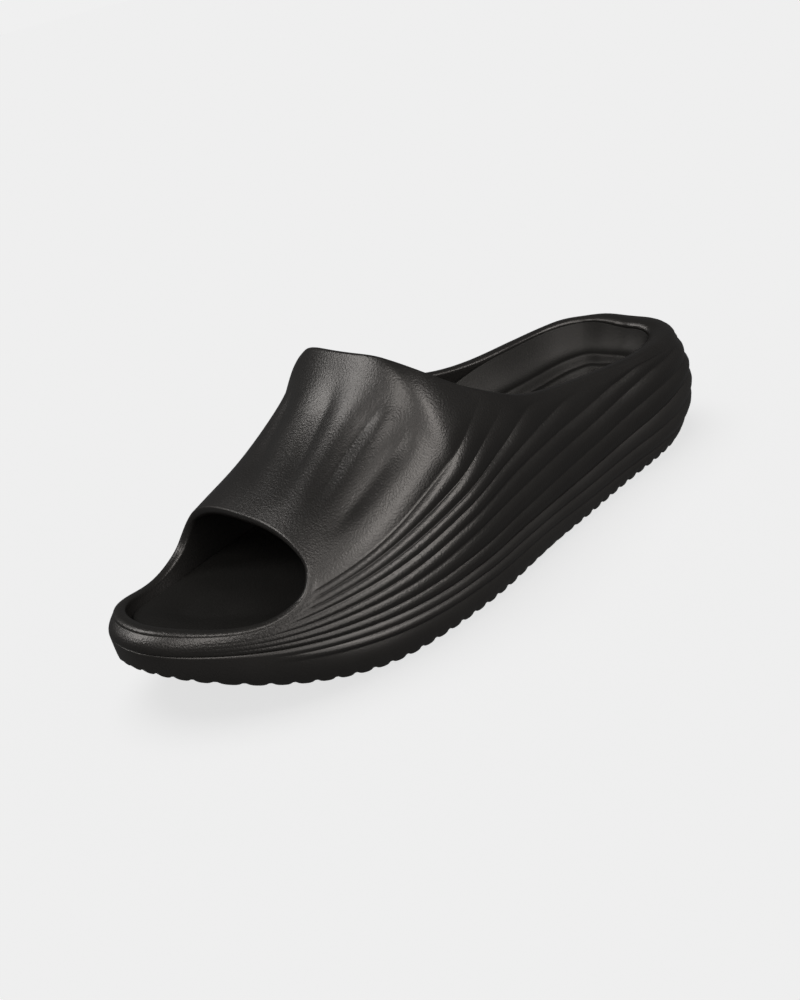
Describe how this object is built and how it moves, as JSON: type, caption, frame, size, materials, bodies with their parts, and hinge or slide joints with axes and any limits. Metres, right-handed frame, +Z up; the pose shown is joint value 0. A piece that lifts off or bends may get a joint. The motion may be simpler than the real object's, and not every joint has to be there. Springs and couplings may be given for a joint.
{
  "type": "house slide",
  "caption": "Left open-toed moulded foam slide with a ribbed side, a low heel cup, a thick grooved sole and a dished footbed, to slip on indoors.",
  "frame": {"origin": "on the floor under the middle of the shoe's box", "axes": "+X from toe to heel along the foot, +Y to the inner side of the foot, +Z up from the tread"},
  "size_m": [0.2849, 0.117, 0.095],
  "materials": {
    "upper_foam": "satin black foam with a fine leather-like grain",
    "sole_foam": "satin black foam, smooth bands and grooved tread",
    "footbed_foam": "matt black foam"
  },
  "bodies": {
    "root": {"upper": "upper_foam", "sole": "sole_foam", "footbed": "footbed_foam"}
  },
  "joints": []
}
